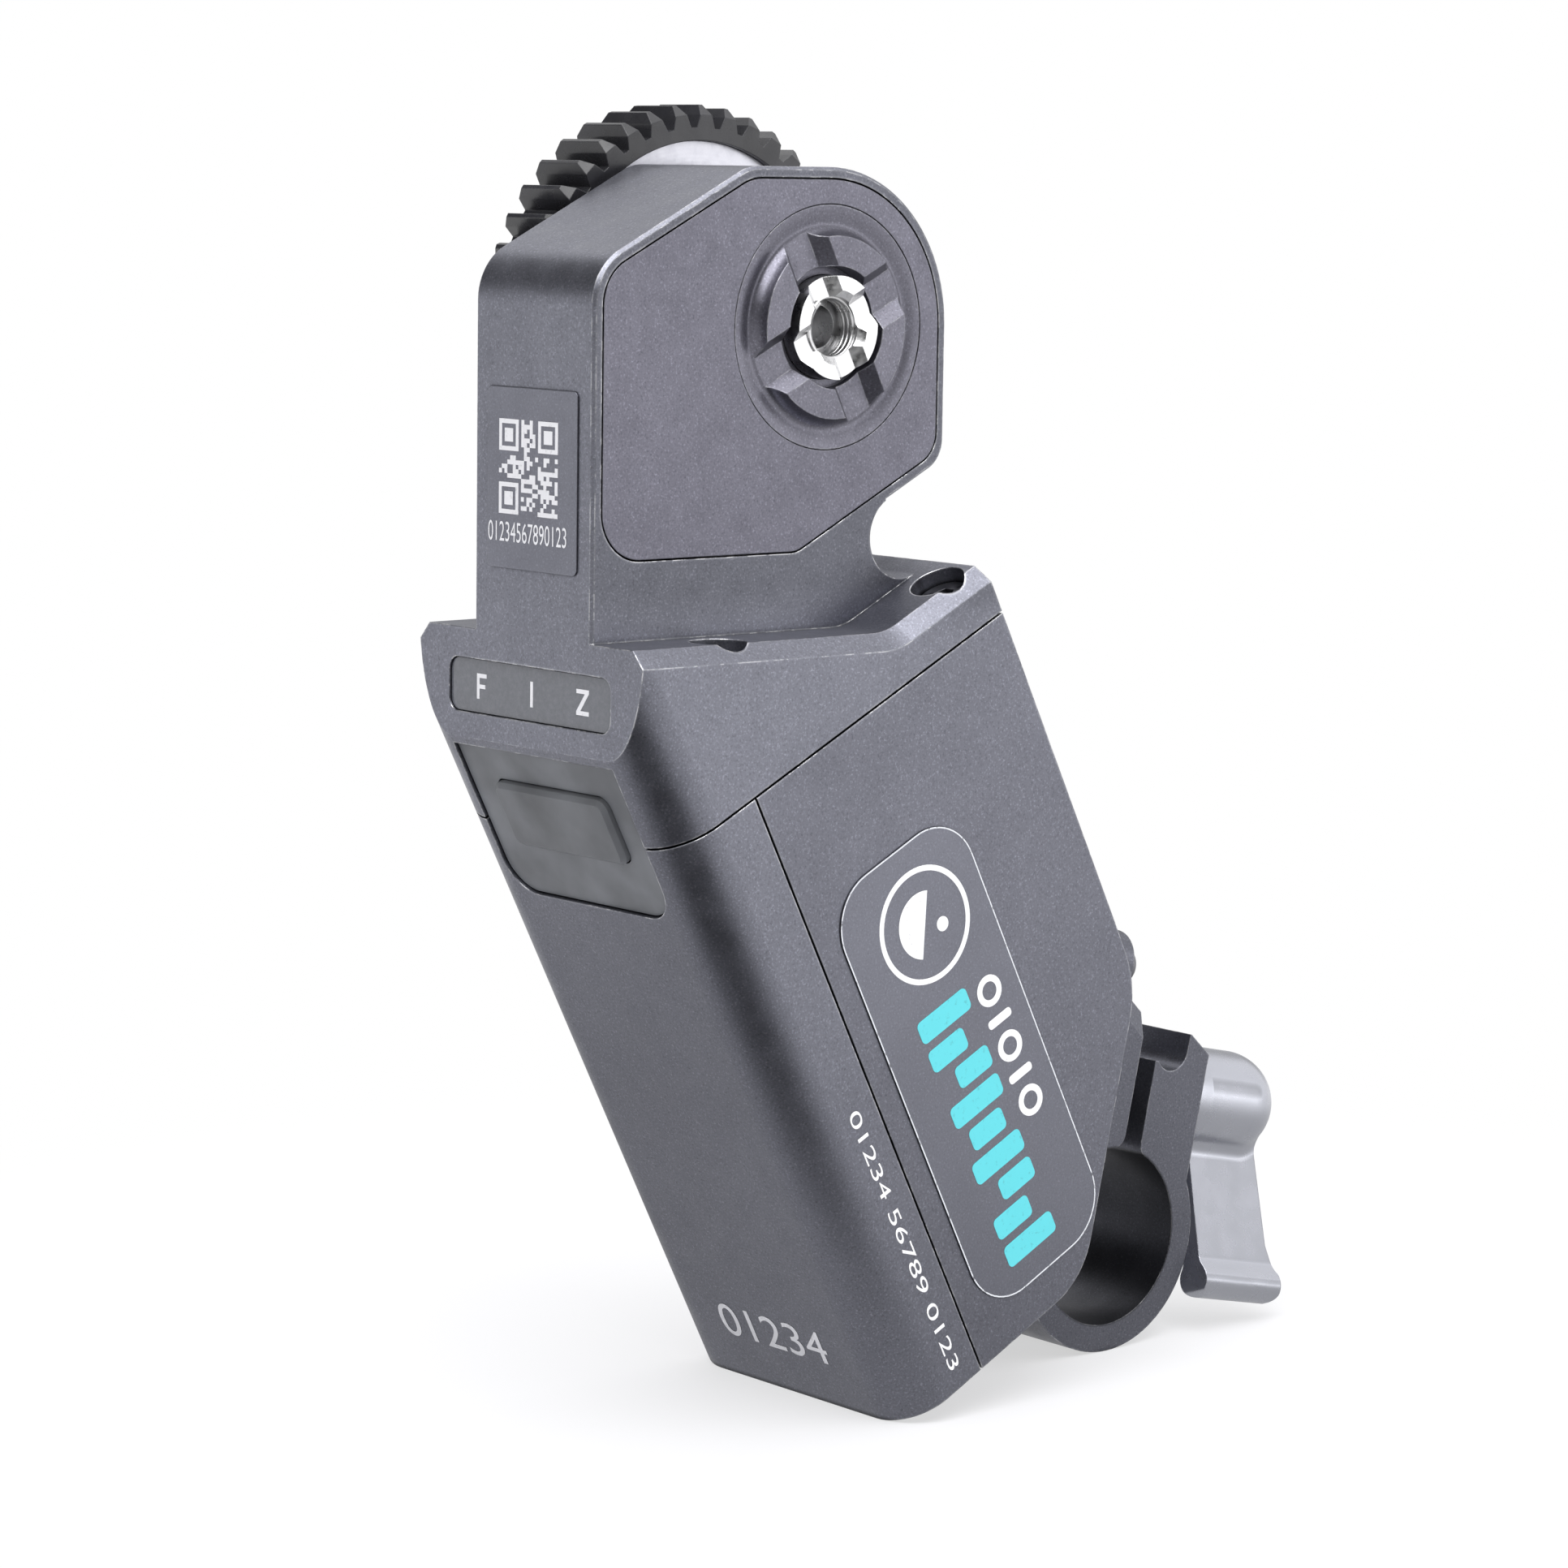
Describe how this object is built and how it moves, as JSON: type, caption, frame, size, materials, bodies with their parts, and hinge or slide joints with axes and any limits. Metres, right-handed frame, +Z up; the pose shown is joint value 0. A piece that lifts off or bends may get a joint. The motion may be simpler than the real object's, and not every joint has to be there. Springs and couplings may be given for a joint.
{
  "type": "follow focus unit",
  "caption": "Motorised follow focus unit with rod clamp, toothed drive gear, dished output hub, function button and clamp lever, dark anodised.",
  "frame": {"origin": "centre of the rod clamp's bore, midway along its length", "axes": "+X along the rod towards the side with the head cover, +Z up in the stored pose, -Y towards the window and button"},
  "size_m": [0.0294, 0.0802, 0.1026],
  "materials": {
    "casing": "satin",
    "hub": "satin",
    "steel": "satin",
    "fixings": "satin",
    "lever_silver": "satin",
    "boss_silver": "satin",
    "gear_plastic": "matte",
    "train_brass": "satin",
    "motor_shell": "satin",
    "motor_core": "matte",
    "panel": "matte",
    "window": "gloss",
    "label": "gloss",
    "board": "matte",
    "components": "matte",
    "socket": "satin"
  },
  "bodies": {
    "housing": {"upper_housing": "casing", "head_cover": "casing", "front_shell": "casing", "rear_shell": "casing", "housing_screws": "fixings", "display_window": "window", "light_board": "board", "channel_lights": "components", "function_panel": "panel", "button_switch": "components", "button_board": "board", "serial_label": "label", "side_label": "label", "clamp_bracket": "casing", "bracket_screws": "fixings", "output_bearings": "steel", "gear_axles": "steel", "gear_plate_left": "steel", "gear_plate_right": "steel", "motor_case": "motor_shell", "motor_end_cap": "motor_shell", "motor_bushes": "steel", "motor_stator": "motor_core", "motor_plate": "steel", "main_board": "board", "data_sockets": "socket", "board_chips": "components"},
    "button": {"function_button": "panel"},
    "lever": {"clamp_lever": "lever_silver", "clamp_screw": "steel", "clamp_washer": "steel"},
    "output": {"drive_hub_right": "hub", "drive_hub_left": "hub", "coupling_ring_right": "steel", "coupling_ring_left": "steel", "output_shaft": "steel", "output_gear": "train_brass", "focus_gear": "gear_plastic", "gear_boss": "boss_silver", "gear_screw": "fixings"},
    "upper_reduction": {"reduction_gear_high": "train_brass"},
    "lower_reduction": {"reduction_gear_low": "train_brass"},
    "face_drive": {"face_gear": "train_brass"},
    "rotor": {"motor_rotor": "steel", "motor_shaft": "steel", "motor_pinion": "train_brass"}
  },
  "joints": [
    {"name": "motor_spin", "type": "hinge", "parent": "housing", "child": "rotor", "pos_m": [0, -0.0153, -0.00282], "axis": [0, -0.454, 0.891], "continuous": true},
    {"name": "face_spin", "type": "hinge", "parent": "housing", "child": "face_drive", "pos_m": [0, -0.04098, 0.04758], "axis": [1, 0, 0], "continuous": true},
    {"name": "lower_spin", "type": "hinge", "parent": "housing", "child": "lower_reduction", "pos_m": [0, -0.04298, 0.05584], "axis": [1, 0, 0], "continuous": true},
    {"name": "upper_spin", "type": "hinge", "parent": "housing", "child": "upper_reduction", "pos_m": [0, -0.04099, 0.06564], "axis": [1, 0, 0], "continuous": true},
    {"name": "output_spin", "type": "hinge", "parent": "housing", "child": "output", "pos_m": [0, -0.034, 0.076], "axis": [1, 0, 0], "continuous": true},
    {"name": "button_press", "type": "slide", "parent": "housing", "child": "button", "axis": [0, 0.891, 0.454], "range_m": [0, 0.0004], "stiffness_N_per_m": 800, "springref_m": -0.0005},
    {"name": "lever_turn", "type": "hinge", "parent": "housing", "child": "lever", "pos_m": [0, 0.00258, 0.01172], "axis": [0, 0.9767, -0.2147], "range_deg": [-90, 180]}
  ],
  "couplings": [
    {"joint": "face_spin", "follows": "motor_spin", "ratio": 0.5},
    {"joint": "lower_spin", "follows": "motor_spin", "ratio": -0.27273},
    {"joint": "upper_spin", "follows": "motor_spin", "ratio": 0.11688},
    {"joint": "output_spin", "follows": "motor_spin", "ratio": -0.03691}
  ]
}
